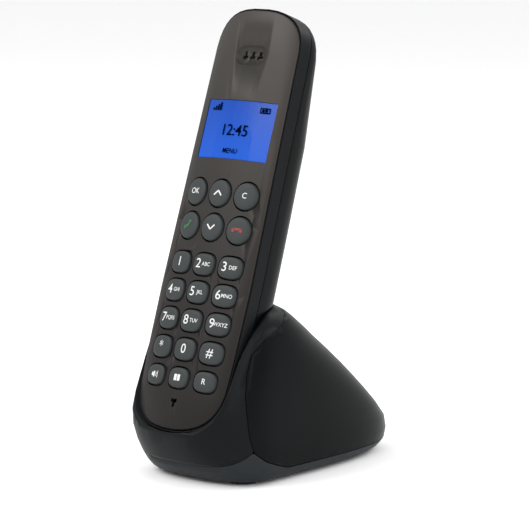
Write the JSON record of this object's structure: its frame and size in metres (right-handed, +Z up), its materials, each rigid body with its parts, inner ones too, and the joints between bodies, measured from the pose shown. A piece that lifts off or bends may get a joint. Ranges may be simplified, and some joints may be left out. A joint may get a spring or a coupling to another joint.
{
  "type": "cordless phone with charging base",
  "caption": "Slim cordless telephone handset with a keypad and colour display, leaning back in a rounded charging base with a cup that it lifts out of.",
  "frame": {"origin": "on the table, under the middle of the object's bounding box", "axes": "+Z up; the keypad and display face -Y; +X is to the right as the keypad is read"},
  "size_m": [0.06, 0.1126, 0.1754],
  "materials": {
    "black_plastic": "satin",
    "face": "satin",
    "window": "gloss",
    "screen": "gloss",
    "key": "matte",
    "mat": "matte",
    "board": "satin",
    "steel": "satin",
    "cell": "gloss",
    "contact": "satin",
    "socket": "matte",
    "foot": "matte"
  },
  "bodies": {
    "base": {"cradle_shell": "black_plastic", "rear_shell": "black_plastic", "base_plate": "black_plastic", "foot_front_left": "foot", "foot_front_right": "foot", "foot_rear_left": "foot", "foot_rear_right": "foot", "base_screw_1": "steel", "base_screw_2": "steel", "base_screw_3": "steel", "base_board": "board", "line_socket": "socket", "power_inlet": "socket"},
    "handset": {"face_plate": "face", "front_housing": "black_plastic", "rear_housing": "black_plastic", "display_lens": "window", "lcd_module": "screen", "keypad_mat": "mat", "main_board": "board", "earpiece_speaker": "steel", "microphone": "steel", "ringer_speaker": "steel", "battery_cell_1": "cell", "battery_cell_2": "cell", "battery_spring_plate": "steel", "battery_top_plate": "steel", "handset_contact_left": "contact", "handset_contact_right": "contact"},
    "battery_door": {"battery_door": "black_plastic"},
    "page_button": {"page_button": "key"},
    "charge_spring_left": {"charge_spring_left": "contact"},
    "charge_spring_right": {"charge_spring_right": "contact"},
    "key_menu": {"key_menu": "key"},
    "key_up": {"key_up": "key"},
    "key_clear": {"key_clear": "key"},
    "key_talk": {"key_talk": "key"},
    "key_down": {"key_down": "key"},
    "key_end": {"key_end": "key"},
    "key_1": {"key_1": "key"},
    "key_2": {"key_2": "key"},
    "key_3": {"key_3": "key"},
    "key_4": {"key_4": "key"},
    "key_5": {"key_5": "key"},
    "key_6": {"key_6": "key"},
    "key_7": {"key_7": "key"},
    "key_8": {"key_8": "key"},
    "key_9": {"key_9": "key"},
    "key_star": {"key_star": "key"},
    "key_0": {"key_0": "key"},
    "key_hash": {"key_hash": "key"},
    "key_speaker": {"key_speaker": "key"},
    "key_phonebook": {"key_phonebook": "key"},
    "key_recall": {"key_recall": "key"}
  },
  "joints": [
    {"name": "handset_lift", "type": "slide", "parent": "base", "child": "handset", "axis": [0, 0.3239, 0.9461], "range_m": [0, 0.09]},
    {"name": "battery_door_slide", "type": "slide", "parent": "handset", "child": "battery_door", "axis": [0, -0.3239, -0.9461], "range_m": [0, 0.0045]},
    {"name": "page_press", "type": "slide", "parent": "base", "child": "page_button", "axis": [0, -1, 0], "range_m": [0, 0.0007], "stiffness_N_per_m": 500},
    {"name": "charge_spring_left_press", "type": "slide", "parent": "base", "child": "charge_spring_left", "axis": [0, -0.3239, -0.9461], "range_m": [0, 0.0006], "stiffness_N_per_m": 300},
    {"name": "charge_spring_right_press", "type": "slide", "parent": "base", "child": "charge_spring_right", "axis": [0, -0.3239, -0.9461], "range_m": [0, 0.0006], "stiffness_N_per_m": 300},
    {"name": "key_menu_press", "type": "slide", "parent": "handset", "child": "key_menu", "axis": [0, 0.9461, -0.3239], "range_m": [0, 0.0006], "stiffness_N_per_m": 500},
    {"name": "key_up_press", "type": "slide", "parent": "handset", "child": "key_up", "axis": [0, 0.9461, -0.3239], "range_m": [0, 0.0006], "stiffness_N_per_m": 500},
    {"name": "key_clear_press", "type": "slide", "parent": "handset", "child": "key_clear", "axis": [0, 0.9461, -0.3239], "range_m": [0, 0.0006], "stiffness_N_per_m": 500},
    {"name": "key_talk_press", "type": "slide", "parent": "handset", "child": "key_talk", "axis": [0, 0.9461, -0.3239], "range_m": [0, 0.0006], "stiffness_N_per_m": 500},
    {"name": "key_down_press", "type": "slide", "parent": "handset", "child": "key_down", "axis": [0, 0.9461, -0.3239], "range_m": [0, 0.0006], "stiffness_N_per_m": 500},
    {"name": "key_end_press", "type": "slide", "parent": "handset", "child": "key_end", "axis": [0, 0.9461, -0.3239], "range_m": [0, 0.0006], "stiffness_N_per_m": 500},
    {"name": "key_1_press", "type": "slide", "parent": "handset", "child": "key_1", "axis": [0, 0.9461, -0.3239], "range_m": [0, 0.0006], "stiffness_N_per_m": 500},
    {"name": "key_2_press", "type": "slide", "parent": "handset", "child": "key_2", "axis": [0, 0.9461, -0.3239], "range_m": [0, 0.0006], "stiffness_N_per_m": 500},
    {"name": "key_3_press", "type": "slide", "parent": "handset", "child": "key_3", "axis": [0, 0.9461, -0.3239], "range_m": [0, 0.0006], "stiffness_N_per_m": 500},
    {"name": "key_4_press", "type": "slide", "parent": "handset", "child": "key_4", "axis": [0, 0.9461, -0.3239], "range_m": [0, 0.0006], "stiffness_N_per_m": 500},
    {"name": "key_5_press", "type": "slide", "parent": "handset", "child": "key_5", "axis": [0, 0.9461, -0.3239], "range_m": [0, 0.0006], "stiffness_N_per_m": 500},
    {"name": "key_6_press", "type": "slide", "parent": "handset", "child": "key_6", "axis": [0, 0.9461, -0.3239], "range_m": [0, 0.0006], "stiffness_N_per_m": 500},
    {"name": "key_7_press", "type": "slide", "parent": "handset", "child": "key_7", "axis": [0, 0.9461, -0.3239], "range_m": [0, 0.0006], "stiffness_N_per_m": 500},
    {"name": "key_8_press", "type": "slide", "parent": "handset", "child": "key_8", "axis": [0, 0.9461, -0.3239], "range_m": [0, 0.0006], "stiffness_N_per_m": 500},
    {"name": "key_9_press", "type": "slide", "parent": "handset", "child": "key_9", "axis": [0, 0.9461, -0.3239], "range_m": [0, 0.0006], "stiffness_N_per_m": 500},
    {"name": "key_star_press", "type": "slide", "parent": "handset", "child": "key_star", "axis": [0, 0.9461, -0.3239], "range_m": [0, 0.0006], "stiffness_N_per_m": 500},
    {"name": "key_0_press", "type": "slide", "parent": "handset", "child": "key_0", "axis": [0, 0.9461, -0.3239], "range_m": [0, 0.0006], "stiffness_N_per_m": 500},
    {"name": "key_hash_press", "type": "slide", "parent": "handset", "child": "key_hash", "axis": [0, 0.9461, -0.3239], "range_m": [0, 0.0006], "stiffness_N_per_m": 500},
    {"name": "key_speaker_press", "type": "slide", "parent": "handset", "child": "key_speaker", "axis": [0, 0.9461, -0.3239], "range_m": [0, 0.0006], "stiffness_N_per_m": 500},
    {"name": "key_phonebook_press", "type": "slide", "parent": "handset", "child": "key_phonebook", "axis": [0, 0.9461, -0.3239], "range_m": [0, 0.0006], "stiffness_N_per_m": 500},
    {"name": "key_recall_press", "type": "slide", "parent": "handset", "child": "key_recall", "axis": [0, 0.9461, -0.3239], "range_m": [0, 0.0006], "stiffness_N_per_m": 500}
  ]
}
